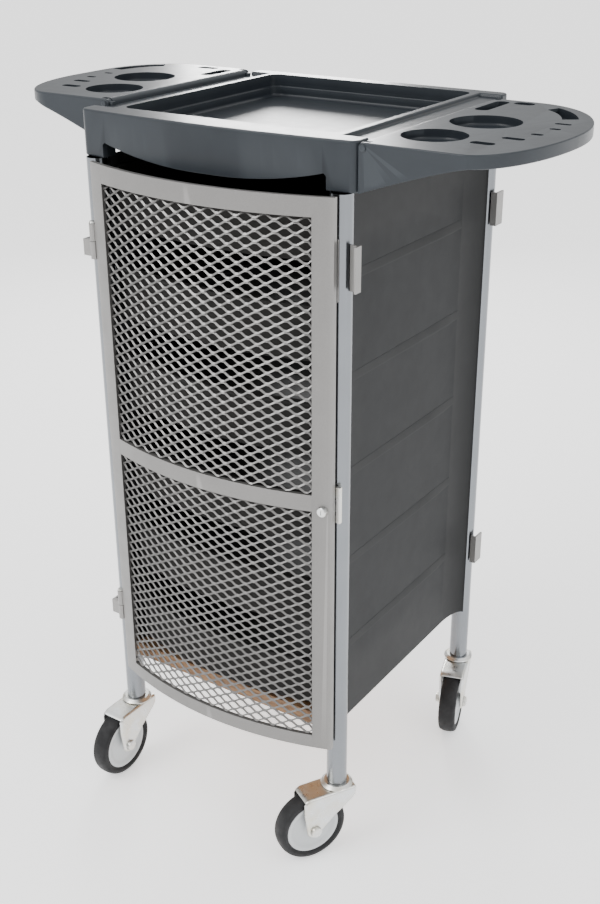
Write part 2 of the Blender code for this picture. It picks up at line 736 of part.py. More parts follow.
def oriented(obj, place, angle):
    """Turn a castor part built round the origin and set it at its post."""
    turn = Matrix.Rotation(math.radians(angle), 4, "Z")
    obj.data.transform(Matrix.Translation(Vector((place[0], place[1], 0.0))) @ turn)


def fork_side_outline():
    """Side view of a fork leg: broad under the hood, round at the axle."""
    points = arc((-TRAIL, WHEEL_R), 0.0110, 200.0, 350.0, 6)
    points += [(0.004, 0.070), (0.0190, 0.082), (0.0205, HOOD_Z - 0.004), (0.0180, HOOD_Z)]
    points += [(-0.044, HOOD_Z), (-0.052, HOOD_Z - 0.006), (-0.052, 0.072)]
    return points


def make_castor(tag, place, angle):
    """Swivel castor: cup under the post, forked hood, tyre, hub and axle bolt."""
    base = HOOD_Z + 0.0006
    top = POST_Z0 - GAP
    cup_profile = [(0.0, base), (0.0200, base), (0.0200, base + 0.0018), (0.0165, top), (0.0, top)]
    cup = turned("castor_cup_" + tag, cup_profile, (place[0], place[1], 0.0), "Z", 24)
    finish(cup, "zinc_plate")

    outer = FORK_IN + FORK_T
    fork = prism("castor_fork_" + tag, fork_side_outline(), -outer, outer, "Y")
    bevel(fork, 0.0025, 1, 50.0)
    wheel_room = rod("room", WHEEL_R + 0.0018, (-TRAIL, 0.0, WHEEL_R), -FORK_IN, FORK_IN, "Y", 32)
    cut(fork, wheel_room)
    cut(fork, box("low", (-0.1, -FORK_IN, 0.0), (0.1, FORK_IN, WHEEL_R)))
    cut(fork, rod("bore", AXLE_R + GAP, (-TRAIL, 0.0, WHEEL_R), -0.05, 0.05, "Y", 12))
    oriented(fork, place, angle)
    finish(fork, "zinc_plate")
    set_origin(fork, (place[0], place[1], HOOD_Z))

    half = WHEEL_W / 2
    tyre_profile = [(RIM_R + GAP, -half * 0.86), (RIM_R + 0.003, -half), (WHEEL_R - 0.006, -half)]
    tyre_profile += [(WHEEL_R - 0.0018, -half * 0.75), (WHEEL_R, -half * 0.38)]
    tyre_profile += [(r, -h) for r, h in reversed(tyre_profile)]
    tyre = turned("castor_tyre_" + tag, tyre_profile, (-TRAIL, 0.0, WHEEL_R), "Y", 32)
    hub_profile = [(AXLE_R + RUN, -0.0137), (0.010, -0.0137), (0.0115, -0.0095), (0.029, -0.0075)]
    hub_profile += [(0.031, -half * 0.82), (RIM_R, -half * 0.82)]
    hub_profile += [(r, -h) for r, h in reversed(hub_profile)]
    hub = turned("castor_hub_" + tag, hub_profile, (-TRAIL, 0.0, WHEEL_R), "Y", 24)
    bolt = FORK_IN + FORK_T + GAP
    axle_profile = [(0.0, -bolt - 0.004), (0.0065, -bolt - 0.004), (0.0075, -bolt - 0.003)]
    axle_profile += [(0.0075, -bolt), (AXLE_R, -bolt), (AXLE_R, bolt)]
    axle_profile += [(0.0070, bolt), (0.0070, bolt + 0.005), (0.0, bolt + 0.005)]
    axle = turned("castor_axle_" + tag, axle_profile, (-TRAIL, 0.0, WHEEL_R), "Y", 12)
    turn = Matrix.Rotation(math.radians(angle), 3, "Z")
    centre = turn @ Vector((-TRAIL, 0.0, WHEEL_R)) + Vector((place[0], place[1], 0.0))
    for obj, slot in ((tyre, "tyre_rubber"), (hub, "hub_plastic"), (axle, "zinc_plate")):
        oriented(obj, place, angle)
        finish(obj, slot)
        set_origin(obj, centre)


def centre_over_floor():
    """Shift every part so the origin lies under the middle of the overall box."""
    bpy.context.view_layer.update()
    low = min((obj.matrix_world @ v.co).y for obj in bpy.data.objects for v in obj.data.vertices)
    high = max((obj.matrix_world @ v.co).y for obj in bpy.data.objects for v in obj.data.vertices)
    for obj in bpy.data.objects:
        obj.location.y -= (low + high) / 2.0


def main():
    """Build every sub-part."""
    clear_scene()
    make_posts()
    make_tray()
    make_wing(-1, "wing_L")
    make_wing(1, "wing_R")
    make_wing_pins()
    make_panel(-1, "side_panel_L")
    make_panel(1, "side_panel_R")
    make_base()
    for index in range(DRAWERS):
        make_drawer(index)
    make_door()
    make_hinges()
    make_lock()
    make_clips()
    for tag, sx, sy in CORNERS:
        make_castor(tag, (sx * POST_X, sy * POST_Y), CASTOR_TURNS[tag])
    centre_over_floor()


main()
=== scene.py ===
"""Looks of the hairdresser's roller trolley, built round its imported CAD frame."""

import json
import math

import bmesh
import bpy
from mathutils import Matrix, Vector


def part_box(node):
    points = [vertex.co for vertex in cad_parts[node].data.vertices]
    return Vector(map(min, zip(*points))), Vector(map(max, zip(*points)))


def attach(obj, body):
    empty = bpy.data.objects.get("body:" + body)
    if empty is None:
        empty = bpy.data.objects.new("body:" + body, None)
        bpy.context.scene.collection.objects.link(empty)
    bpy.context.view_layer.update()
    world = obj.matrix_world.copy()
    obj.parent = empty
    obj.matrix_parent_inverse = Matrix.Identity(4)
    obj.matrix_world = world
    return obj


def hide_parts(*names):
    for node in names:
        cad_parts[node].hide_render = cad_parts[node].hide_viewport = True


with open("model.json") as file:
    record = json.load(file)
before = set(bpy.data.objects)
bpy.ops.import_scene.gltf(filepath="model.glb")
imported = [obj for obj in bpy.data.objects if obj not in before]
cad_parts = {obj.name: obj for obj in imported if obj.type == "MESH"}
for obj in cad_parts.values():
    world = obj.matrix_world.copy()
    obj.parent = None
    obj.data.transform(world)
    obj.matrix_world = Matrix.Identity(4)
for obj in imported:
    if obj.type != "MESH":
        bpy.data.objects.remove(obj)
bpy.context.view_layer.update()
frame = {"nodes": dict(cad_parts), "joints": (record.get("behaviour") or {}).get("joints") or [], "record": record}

# ---- driving dimensions read from the frame (metres) ----
JOINTS = {j["name"]: j for j in frame["joints"]}
SHIFT_Y = JOINTS["wing_right_fold"]["pos_m"][1]
TRAY_LOW, TRAY_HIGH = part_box("top_tray")
DOOR_LOW, DOOR_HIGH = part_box("door_frame")
UPPER_LOW, UPPER_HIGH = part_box("door_mesh_upper")
LOWER_LOW, LOWER_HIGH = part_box("door_mesh_lower")
PANEL_LOW, PANEL_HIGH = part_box("side_panel_R")
POST_LOW, POST_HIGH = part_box("post_FR")
DECK_Z = next(m for m in frame["record"]["mounts"] if m["name"] == "tray_deck")["pos_m"][2]
PIVOTS = {1: JOINTS["wing_right_fold"]["pos_m"], -1: JOINTS["wing_left_fold"]["pos_m"]}
WING_BOXES = {1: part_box("wing_R"), -1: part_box("wing_L")}
POST_R = (POST_HIGH.x - POST_LOW.x) / 2
DOOR_MID = (DOOR_LOW.x + DOOR_HIGH.x) / 2
DOOR_HALF = (DOOR_HIGH.x - DOOR_LOW.x) / 2
BOARD_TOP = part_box("base_board")[1].z
WHEEL_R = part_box("castor_tyre_FR")[1].z / 2
HOOD_Z = JOINTS["swivel_FR"]["pos_m"][2]

# ---- sizes that follow the part's source (metres) ----
POST_WALL = 0.0015
DOOR_SAG = 0.030
DOOR_T = 0.0055
MESH_INSET = 0.002
TRAY_TOP = DECK_Z + 0.027
TRAY_HALF = 0.1815
TRAY_FRONT = SHIFT_Y - 0.170
TRAY_BOW = 0.009
TRAY_CORNER = 0.010
TRAY_SKIN = 0.004
TRAY_WALL = 0.005
RECESS_HALF = 0.144
RECESS_FRONT = SHIFT_Y - 0.142
RECESS_REAR = SHIFT_Y + 0.160
RECESS_CORNER = 0.014
LAND_X = 0.1525
LAND_DROP = 0.0042
LEG_INNER = 0.149
ARCH_LEG = 0.148
ARCH_RISE = 0.0175
KNUCKLE_R = 0.0045
KNUCKLE_W = 0.006
KNUCKLE_INSET = 0.0035
KNUCKLE_BORE = 0.0024
PANEL_X = 0.160
PANEL_T = 0.004
PANEL_FLARE = 0.013
PANEL_COVE = SHIFT_Y + 0.112
RIDGE_FIRST = 0.105
RIDGE_STEP = 0.115
LEDGE_X = 0.1458
LEDGE_ROOT = 0.157
LEDGE_T = 0.004
LEDGE_FRONT = SHIFT_Y - 0.148
LEDGE_REAR = SHIFT_Y + 0.138
CLEAT_X = 0.1505
DRAWER_HALF = 0.1445
DRAWER_FRONT = SHIFT_Y - 0.160
DRAWER_REAR = SHIFT_Y + 0.140
DRAWER_BOW = 0.022
DRAWER_WALL = 0.0025
FLANGE_X = 0.1498
TRAIL = 0.038
FORK_IN = 0.0145
FORK_OUT = 0.0175


# ---------------------------------------------------------------- mesh helpers
def mesh_object(name, bm):
    """Turn a bmesh into a linked object with outward faces."""
    bmesh.ops.recalc_face_normals(bm, faces=bm.faces)
    mesh = bpy.data.meshes.new(name)
    bm.to_mesh(mesh)
    bm.free()
    obj = bpy.data.objects.new(name, mesh)
    bpy.context.scene.collection.objects.link(obj)
    return obj


def prism(name, outline, low, high, axis="Z"):
    """Extrude a closed 2-D outline along an axis: Z (x,y), Y (x,z) or X (y,z)."""
    bm = bmesh.new()
    rings = []
    for level in (low, high):
        ring = []
        for a, b in outline:
            place = {"Z": (a, b, level), "Y": (a, level, b), "X": (level, a, b)}[axis]
            ring.append(bm.verts.new(place))
        rings.append(ring)
    bm.faces.new(rings[0])
    bm.faces.new(list(reversed(rings[1])))
    for i in range(len(outline)):
        j = (i + 1) % len(outline)
        bm.faces.new((rings[0][i], rings[0][j], rings[1][j], rings[1][i]))
    return mesh_object(name, bm)


def box(name, low, high):
    """Axis-aligned block between two corners."""
    outline = [(low[0], low[1]), (high[0], low[1]), (high[0], high[1]), (low[0], high[1])]
    return prism(name, outline, low[2], high[2])


def turned(name, profile, centre, axis="Z", steps=64):
    """Solid or ring of revolution from (radius, height) points round an axis."""
    bm = bmesh.new()
    rings = []
    for radius, height in profile:
        if radius < 1e-7:
            rings.append([bm.verts.new((0.0, 0.0, height))])
            continue
        angles = [2.0 * math.pi * i / steps for i in range(steps)]
        rings.append([bm.verts.new((radius * math.cos(a), radius * math.sin(a), height)) for a in angles])
    closed = len(rings[0]) > 1 and len(rings[-1]) > 1
    for k in range(len(rings) if closed else len(rings) - 1):
        low, high = rings[k], rings[(k + 1) % len(rings)]
        for i in range(steps):
            j = (i + 1) % steps
            corners = [low[i % len(low)], low[j % len(low)], high[j % len(high)], high[i % len(high)]]
            kept = list(dict.fromkeys(corners))
            if len(kept) > 2:
                bm.faces.new(kept)
    turn = Matrix.Identity(4)
    if axis == "Y":
        turn = Matrix.Rotation(-math.pi / 2, 4, "X")
    elif axis == "X":
        turn = Matrix.Rotation(math.pi / 2, 4, "Y")
    bmesh.ops.transform(bm, matrix=Matrix.Translation(Vector(centre)) @ turn, verts=bm.verts)
    return mesh_object(name, bm)


def rod(name, radius, centre, low, high, axis="Z", steps=48):
    """Solid cylinder along an axis between two heights relative to its centre."""
    return turned(name, [(0.0, low), (radius, low), (radius, high), (0.0, high)], centre, axis, steps)


def apply_modifiers(obj):
    """Bake the object's modifiers into its mesh."""
    depsgraph = bpy.context.evaluated_depsgraph_get()
    mesh = bpy.data.meshes.new_from_object(obj.evaluated_get(depsgraph))
    obj.modifiers.clear()
    old = obj.data
    obj.data = mesh
    bpy.data.meshes.remove(old)


def combine(obj, other, operation):
    """Exact boolean of two closed solids; the second one is used up."""
    mod = obj.modifiers.new("join", "BOOLEAN")
    mod.operation = operation
    mod.solver = "EXACT"
    mod.object = other
    apply_modifiers(obj)
    bpy.data.objects.remove(other, do_unlink=True)
    return obj


def add(obj, other):
    """Join a solid onto an object."""
    return combine(obj, other, "UNION")


def cut(obj, other):
    """Cut a solid out of an object."""
    return combine(obj, other, "DIFFERENCE")


def bevel(obj, width, segments=3, angle=35.0, apply=True):
    """Round the sharp edges of a solid."""
    mod = obj.modifiers.new("bevel", "BEVEL")
    mod.width = width
    mod.segments = segments
    mod.limit_method = "ANGLE"
    mod.angle_limit = math.radians(angle)
    mod.harden_normals = False
    if apply:
        apply_modifiers(obj)
    return obj


def smooth(obj, angle=38.0):
    """Shade smooth with sharp edges kept; wide flat faces stay flat beside soft edges."""
    obj.data.shade_smooth()
    obj.data.set_sharp_from_angle(angle=math.radians(angle))
    mod = obj.modifiers.new("normals", "WEIGHTED_NORMAL")
    mod.keep_sharp = True
    return obj


def arc(centre, radius, start, end, steps):
    """Points along a circular arc, angles in degrees."""
    points = []
    for i in range(steps + 1):
        a = math.radians(start + (end - start) * i / steps)
        points.append((centre[0] + radius * math.cos(a), centre[1] + radius * math.sin(a)))
    return points


def rounded_rect(x0, x1, y0, y1, r, steps=8):
    """Rounded rectangle outline, counter-clockwise."""
    points = arc((x1 - r, y1 - r), r, 0.0, 90.0, steps)
    points += arc((x0 + r, y1 - r), r, 90.0, 180.0, steps)
    points += arc((x0 + r, y0 + r), r, 180.0, 270.0, steps)
    points += arc((x1 - r, y0 + r), r, 270.0, 360.0, steps)
    return points


def mirrored(outline, side):
    """Mirror an outline across the centre plane for the left side."""
    return list(outline) if side > 0 else [(-a, b) for a, b in reversed(outline)]


def span(side, near, far):
    """Low and high x of a part between two distances from the centre plane."""
    return sorted((side * near, side * far))


def bow(x, half, edge, sag):
    """Y of a bowed front at x: edge at the ends, edge minus sag in the middle."""
    radius = (half * half + sag * sag) / (2.0 * sag)
    return edge - (math.sqrt(radius * radius - x * x) - (radius - sag))


def bowed_strip(x0, x1, half, front, back, sag, steps):
    """Plan outline of a strip that follows a bow between two x positions."""
    xs = [x0 + (x1 - x0) * i / steps for i in range(steps + 1)]
    points = [(x, bow(x, half, front, sag)) for x in xs]
    points += [(x, bow(x, half, back, sag)) for x in reversed(xs)]
    return points


def place(obj, body, slot, material, *nodes):
    """Give a new piece its material and its body, and hide the nodes it stands for; the slot argument is not used.
    """
    obj.data.materials.clear()
    obj.data.materials.append(material)
    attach(obj, body)
    if nodes:
        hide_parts(*nodes)
    return obj


# ------------------------------------------------------------------- materials
def new_material(name, colour, metallic, roughness, specular=0.5):
    """Principled material and its shader node."""
    mat = bpy.data.materials.new(name)
    mat.use_nodes = True
    shader = mat.node_tree.nodes["Principled BSDF"]
    shader.inputs["Base Color"].default_value = (*colour, 1.0)
    shader.inputs["Metallic"].default_value = metallic
    shader.inputs["Roughness"].default_value = roughness
    shader.inputs["Specular IOR Level"].default_value = specular
    return mat, shader


def connect(mat, source, socket):
    """Link a node output to an input of the same material or surround."""
    mat.node_tree.links.new(source, socket)


def noise(mat, scale, detail=4.0, stretch=(1.0, 1.0, 1.0), rough=0.55):
    """Noise factor in object space, with a stretch along each axis."""
    nodes, links = mat.node_tree.nodes, mat.node_tree.links
    coords = nodes.new("ShaderNodeTexCoord")
    mapping = nodes.new("ShaderNodeMapping")
    mapping.inputs["Scale"].default_value = stretch
    texture = nodes.new("ShaderNodeTexNoise")
    texture.inputs["Scale"].default_value = scale
    texture.inputs["Detail"].default_value = detail
    texture.inputs["Roughness"].default_value = rough
    links.new(coords.outputs["Object"], mapping.inputs["Vector"])
    links.new(mapping.outputs["Vector"], texture.inputs["Vector"])
    return texture.outputs["Fac"]


def ramp(mat, source, low, high, start=0.3, stop=0.7):
    """Map a factor onto two values or colours."""
    nodes, links = mat.node_tree.nodes, mat.node_tree.links
    node = nodes.new("ShaderNodeValToRGB")
    first, last = node.color_ramp.elements[0], node.color_ramp.elements[1]
    first.position, last.position = start, stop
    first.color = (*low, 1.0) if isinstance(low, tuple) else (low, low, low, 1.0)
    last.color = (*high, 1.0) if isinstance(high, tuple) else (high, high, high, 1.0)
    links.new(source, node.inputs["Fac"])
    return node.outputs["Color"]


def bump(mat, shader, source, strength, distance):
    """Add a bump layer in front of the shader's normal."""
    nodes, links = mat.node_tree.nodes, mat.node_tree.links
    node = nodes.new("ShaderNodeBump")
    node.inputs["Strength"].default_value = strength
    node.inputs["Distance"].default_value = distance
    links.new(source, node.inputs["Height"])
    normal = shader.inputs["Normal"]
    if normal.is_linked:
        links.new(normal.links[0].from_socket, node.inputs["Normal"])
    links.new(node.outputs["Normal"], normal)


def edge_wear(mat, shader, base, worn, amount=0.5):
    """Lighter colour where convex edges are rubbed."""
    nodes, links = mat.node_tree.nodes, mat.node_tree.links
    geometry = nodes.new("ShaderNodeNewGeometry")
    edge = ramp(mat, geometry.outputs["Pointiness"], 0.0, amount, 0.505, 0.56)
    mix = nodes.new("ShaderNodeMix")
    mix.data_type = "RGBA"
    links.new(edge, mix.inputs["Factor"])
    links.new(base, mix.inputs["A"])
    mix.inputs["B"].default_value = (*worn, 1.0)
    links.new(mix.outputs["Result"], shader.inputs["Base Color"])


def moulded_plastic(name, colour, roughness, grain, worn, speck=0.10, specular=0.5):
    """Injection moulded plastic: fine grain, faint flow mottling, rubbed edges."""
    mat, shader = new_material(name, colour, 0.0, roughness, specular)
    dark = tuple(c * (1.0 - speck) for c in colour)
    light = tuple(c * (1.0 + speck) for c in colour)
    edge_wear(mat, shader, ramp(mat, noise(mat, 22.0, 5.0), dark, light), worn, 0.35)
    sheen = ramp(mat, noise(mat, 60.0, 4.0), roughness - 0.02, roughness + 0.02)
    connect(mat, sheen, shader.inputs["Roughness"])
    bump(mat, shader, noise(mat, 1500.0, 2.0), 0.15, grain)
    return mat


def coated_metal(name, colour, metallic, roughness, peel):
    """Satin silver lacquer over steel: flake mottling and fine orange peel."""
    mat, shader = new_material(name, colour, metallic, roughness)
    dark = tuple(c * 0.90 for c in colour)
    light = tuple(min(c * 1.08, 1.0) for c in colour)
    edge_wear(mat, shader, ramp(mat, noise(mat, 900.0, 2.0), dark, light), (0.42, 0.41, 0.40), 0.4)
    sheen = ramp(mat, noise(mat, 35.0, 4.0), roughness - 0.06, roughness + 0.08)
    connect(mat, sheen, shader.inputs["Roughness"])
    bump(mat, shader, noise(mat, 700.0, 2.0), 0.3, peel)
    return mat


def bright_tube(name, colour, roughness):
    """Drawn and polished tube: faint lines along its length."""
    mat, shader = new_material(name, colour, 1.0, roughness)
    lines = noise(mat, 420.0, 3.0, (1.0, 1.0, 0.02))
    connect(mat, ramp(mat, lines, roughness - 0.05, roughness + 0.09), shader.inputs["Roughness"])
    stain = ramp(mat, noise(mat, 18.0, 4.0), tuple(c * 0.92 for c in colour), colour)
    connect(mat, stain, shader.inputs["Base Color"])
    bump(mat, shader, lines, 0.10, 0.0002)
    return mat


def zinc_plate(name):
    """Pressed steel with bright zinc: faint yellow bloom and rolled grain."""
    mat, shader = new_material(name, (0.66, 0.66, 0.63), 1.0, 0.30)
    bloom = ramp(mat, noise(mat, 45.0, 5.0), (0.70, 0.72, 0.73), (0.66, 0.62, 0.52), 0.35, 0.75)
    connect(mat, bloom, shader.inputs["Base Color"])
    connect(mat, ramp(mat, noise(mat, 150.0, 4.0), 0.24, 0.42), shader.inputs["Roughness"])
    bump(mat, shader, noise(mat, 380.0, 3.0), 0.2, 0.0002)
    return mat


def tyre_rubber(name):
    """Dark grey rubber with a dusty bloom."""
    mat, shader = new_material(name, (0.013, 0.013, 0.014), 0.0, 0.60, 0.3)
    bloom = ramp(mat, noise(mat, 70.0, 6.0), (0.009, 0.009, 0.010), (0.019, 0.019, 0.020))
    connect(mat, bloom, shader.inputs["Base Color"])
    connect(mat, ramp(mat, noise(mat, 120.0, 3.0), 0.50, 0.75), shader.inputs["Roughness"])
    bump(mat, shader, noise(mat, 900.0, 3.0), 0.35, 0.0003)
    return mat


def board_wood(name):
    """Raw edge of a chipboard: long pressed flakes."""
    mat, shader = new_material(name, (0.48, 0.27, 0.12), 0.0, 0.62)
    flakes = noise(mat, 160.0, 6.0, (0.25, 0.25, 1.4), 0.7)
    tone = ramp(mat, flakes, (0.17, 0.085, 0.037), (0.42, 0.24, 0.12), 0.35, 0.68)
    connect(mat, tone, shader.inputs["Base Color"])
    connect(mat, ramp(mat, flakes, 0.55, 0.75), shader.inputs["Roughness"])
    bump(mat, shader, flakes, 0.5, 0.0006)
    return mat


def dark_plastic(name, colour, roughness, grain, worn, specular):
    """Moulded plastic with an even worn tone and a reduced reflection."""
    return moulded_plastic(name, colour, roughness, grain, (worn, worn, worn), 0.10, specular)


POST_TUBE = bright_tube("post_tube", (0.22, 0.232, 0.248), 0.20)
DOOR_STEEL = coated_metal("door_steel", (0.165, 0.161, 0.156), 0.60, 0.34, 0.0002)
MESH_STEEL = coated_metal("mesh_steel", (0.070, 0.069, 0.068), 0.60, 0.34, 0.0001)
TRAY_PLASTIC = moulded_plastic(
    "tray_plastic", (0.018, 0.022, 0.027), 0.31, 0.00006, (0.08, 0.09, 0.10), 0.10, 0.22)
PANEL_PLASTIC = dark_plastic("panel_plastic", (0.015, 0.016, 0.017), 0.55, 0.0002, 0.04, 0.16)
# Drawer plastic: the drawers' own black, made darker still as painted shade of the cabinet's interior.
DRAWER_PLASTIC_AND_SHADE = dark_plastic("drawer_plastic", (0.016, 0.015, 0.014), 0.55, 0.0002, 0.04, 0.15)
ZINC = zinc_plate("zinc_plate")
RUBBER = tyre_rubber("tyre_rubber")
HUB = moulded_plastic("hub_plastic", (0.52, 0.54, 0.55), 0.38, 0.0002, (0.66, 0.67, 0.68), 0.06)
WOOD = board_wood("board_wood")
BY_SLOT = {
    "post_tube": POST_TUBE, "door_steel": DOOR_STEEL, "mesh_steel": MESH_STEEL,
    "tray_plastic": TRAY_PLASTIC, "panel_plastic": PANEL_PLASTIC, "drawer_plastic": DRAWER_PLASTIC_AND_SHADE,
    "zinc_plate": ZINC, "tyre_rubber": RUBBER, "hub_plastic": HUB, "board_wood": WOOD,
}
SMALL_FITTINGS = ("hinge_clip", "hinge_leaf", "lock_keeper", "strike", "rear_clip", "lock_cam", "base")


def dress_cad_nodes():
    """Give every CAD node its slot's material, and round the small fittings' edges."""
    slots = {s["node"]: s["material_slot"] for s in frame["record"]["subparts"]}
    for name, obj in frame["nodes"].items():
        obj.data.materials.clear()
        obj.data.materials.append(BY_SLOT[slots[name]])
        obj.data.shade_smooth()
        obj.data.set_sharp_from_angle(angle=math.radians(32.0))
        if name.startswith(SMALL_FITTINGS):
            bevel(obj, 0.0005, 2, 40.0, apply=False)


# ------------------------------------------------------------------- door mesh
DIAMOND_W = 0.0216
DIAMOND_H = 0.0124
STRAND_W = 0.0025
STRAND_T = 0.0011
STRAND_LEAN = math.radians(32.0)
STRAND_WAVE = 0.0005
BOND = 0.0036


def strand_path(row, x0, x1, z0, mid_y):
    """Centre line of one zigzag strand across the bowed opening."""
    points = []
    half = DIAMOND_W / 2.0
    count = int((x1 - x0) / half) + 2
    for k in range(count):
        x = x0 + k * half
        up = 1.0 if (k + row) % 2 == 0 else -1.0
        z = z0 + up * (DIAMOND_H / 4.0 - STRAND_W * 0.36)
        for dx in (-BOND / 2, BOND / 2):
            px = min(max(x + dx, x0), x1)
            if points and px - points[-1][0] < 1e-6:
                continue
            points.append((px, mid_y(px) + up * STRAND_WAVE, z))
    return points


def sweep_ribbon(bm, points, width, thick, z_low, z_high):
    """Rectangular strand along a path, leaning as expanded metal does."""
    up = Vector((0.0, math.sin(STRAND_LEAN), math.cos(STRAND_LEAN))) * width / 2
    out = Vector((0.0, math.cos(STRAND_LEAN), -math.sin(STRAND_LEAN))) * thick / 2
    rings = []
    for x, y, z in points:
        centre = Vector((x, y, z))
        ring = []
        for sign_up, sign_out in ((-1, -1), (1, -1), (1, 1), (-1, 1)):
            corner = centre + up * sign_up + out * sign_out
            corner.z = min(max(corner.z, z_low), z_high)
            ring.append(bm.verts.new(corner))
        rings.append(ring)
    for low, high in zip(rings, rings[1:]):
        for i in range(4):
            j = (i + 1) % 4
            bm.faces.new((low[i], low[j], high[j], high[i]))
    bm.faces.new(rings[0])
    bm.faces.new(list(reversed(rings[-1])))


def make_door_mesh(name, node, low, high):
    """Expanded diamond mesh following the door's bow."""
    back = DOOR_HIGH.y - MESH_INSET

    def mid_y(x):
        return bow(x - DOOR_MID, DOOR_HALF, back, DOOR_SAG)

    bm = bmesh.new()
    pitch = DIAMOND_H / 2.0
    rows = int((high.z - low.z) / pitch) + 1
    start = low.z + ((high.z - low.z) - (rows - 1) * pitch) / 2
    for row in range(rows):
        points = strand_path(row, low.x, high.x, start + row * pitch, mid_y)
        sweep_ribbon(bm, points, STRAND_W, STRAND_T, low.z, high.z)
    return place(mesh_object(name, bm), "door", "mesh_steel", MESH_STEEL, node)


def make_door_frame():
    """Bowed frame with soft edges, two windows and a lock hole."""
    back = DOOR_HIGH.y
    front = back - DOOR_T
    strip = bowed_strip(-DOOR_HALF, DOOR_HALF, DOOR_HALF, front, back, DOOR_SAG, 56)
    outline = [(x + DOOR_MID, y) for x, y in strip]
    obj = prism("door_frame_soft", outline, DOOR_LOW.z, DOOR_HIGH.z)
    margin = 0.0009
    for low, high in ((LOWER_LOW, LOWER_HIGH), (UPPER_LOW, UPPER_HIGH)):
        corner = (low.x - margin, -0.5, low.z - margin)
        cut(obj, box("window", corner, (high.x + margin, 0.0, high.z + margin)))
    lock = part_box("lock_cylinder")
    centre = (lock[0] + lock[1]) / 2
    radius = (lock[1].x - lock[0].x) / 2 + 0.0001
    cut(obj, rod("hole", radius, (centre.x, centre.y, centre.z), -0.05, 0.05, "Y", 40))
    bevel(obj, 0.0014, 3, 50.0)
    smooth(obj)
    return place(obj, "door", "door_steel", DOOR_STEEL, "door_frame")


# ------------------------------------------------------------------------ tray
def tray_outline():
    """Plan of the tray: rounded corners, front edge bowed."""
    half, front, rear, r = TRAY_HALF, TRAY_FRONT, TRAY_HIGH.y, TRAY_CORNER
    points = arc((half - r, rear - r), r, 0.0, 90.0, 10)
    points += arc((-half + r, rear - r), r, 90.0, 180.0, 10)
    points += arc((-half + r, front + r), r, 180.0, 262.0, 9)
    reach = half - r
    for i in range(1, 24):
        x = -reach + 2.0 * reach * i / 24
        points.append((x, front - TRAY_BOW * (1.0 - (x / reach) ** 2)))
    points += arc((half - r, front + r), r, 278.0, 360.0, 9)
    return points


def arch_cutter(y0, y1):
    """Space under the curved lower edge of the apron between the corner legs."""
    low, leg, rise, chamfer = TRAY_LOW.z, ARCH_LEG, ARCH_RISE, 0.003
    outline = [(leg, low - 0.01), (leg, low + rise - chamfer), (leg - chamfer, low + rise)]
    for i in range(1, 32):
        x = (leg - chamfer) * (1.0 - 2.0 * i / 32)
        outline.append((x, low + 0.0006 + rise * abs(x / leg) ** 2.2))
    outline += [(-leg + chamfer, low + rise), (-leg, low + rise - chamfer), (-leg, low - 0.01)]
    return prism("cut_apron", outline, y0, y1, "Y")


def cut_lands(obj):
    """Sink the tray's top a little beside each wing, behind a raised front and rear edge."""
    outer = 0.20
    for side in (-1, 1):
        outline = mirrored(((LAND_X, -0.2), (outer, -0.2), (outer, 0.3), (LAND_X, 0.3)), side)
        land = prism("land", outline, TRAY_TOP - LAND_DROP, TRAY_TOP + 0.02)
        low = (-0.3, TRAY_LOW.y + 0.034, TRAY_LOW.z)
        keep = box("keep", low, (0.3, TRAY_HIGH.y - 0.020, TRAY_TOP + 0.1))
        cut(obj, combine(land, keep, "INTERSECT"))


def cut_recess(obj, inset, low, high, soft, segments):
    """One step of the tray's recess, inset all round from the rim's edge."""
    half = RECESS_HALF - inset
    outline = rounded_rect(-half, half, RECESS_FRONT + inset, RECESS_REAR - inset, RECESS_CORNER)
    cut(obj, bevel(prism("recess", outline, low, high), soft, segments, 50.0))


def add_knuckles(obj, side):
    """Bored hinge knuckles of one wing on the tray's side."""
    x = PIVOTS[side][0]
    z = PIVOTS[side][2]
    for y0, y1 in knuckle_spans(side):
        xs = sorted((side * 0.178, x))
        web = box("web", (xs[0], y0, z - KNUCKLE_R), (xs[1], y1, z + 0.0020))
        add(web, rod("knuckle", KNUCKLE_R, (x, 0.0, z), y0, y1, "Y", 32))
        cut(web, rod("bore", KNUCKLE_BORE, (x, 0.0, z), y0 - 0.01, y1 + 0.01, "Y", 24))
        add(obj, web)


def make_tray():
    """Top tray with a stepped recess, sunk lands beside the wings and an arched apron."""
    low = TRAY_LOW.z
    obj = prism("tray_soft", tray_outline(), low, TRAY_TOP)
    cut_lands(obj)
    bevel(obj, 0.0028, 4, 50.0)
    cut_recess(obj, 0.0, TRAY_TOP - 0.016, TRAY_TOP + 0.02, 0.002, 3)
    cut_recess(obj, 0.0025, DECK_Z, TRAY_TOP + 0.01, 0.004, 4)
    under = DECK_Z - TRAY_SKIN
    front = TRAY_FRONT + TRAY_WALL
    rear = TRAY_HIGH.y - TRAY_WALL
    half = TRAY_HALF - 0.006
    cut(obj, box("under", (-LEG_INNER, front, low - 0.01), (LEG_INNER, rear, under)))
    cut(obj, box("under", (-half, SHIFT_Y - 0.150, low - 0.01), (half, SHIFT_Y + 0.150, under)))
    cut(obj, arch_cutter(TRAY_LOW.y - 0.03, front + 0.001))
    cut(obj, arch_cutter(rear - 0.001, TRAY_HIGH.y + 0.03))
    for side in (-1, 1):
        add_knuckles(obj, side)
    smooth(obj)
    return place(obj, "frame", "tray_plastic", TRAY_PLASTIC, "top_tray")


def knuckle_spans(side):
    """Y spans of the tray's knuckles for one wing, just inside the wing's end walls."""
    low, high = WING_BOXES[side]
    front = low.y + KNUCKLE_INSET
    rear = high.y - KNUCKLE_INSET
    return ((front, front + KNUCKLE_W), (rear - KNUCKLE_W, rear))


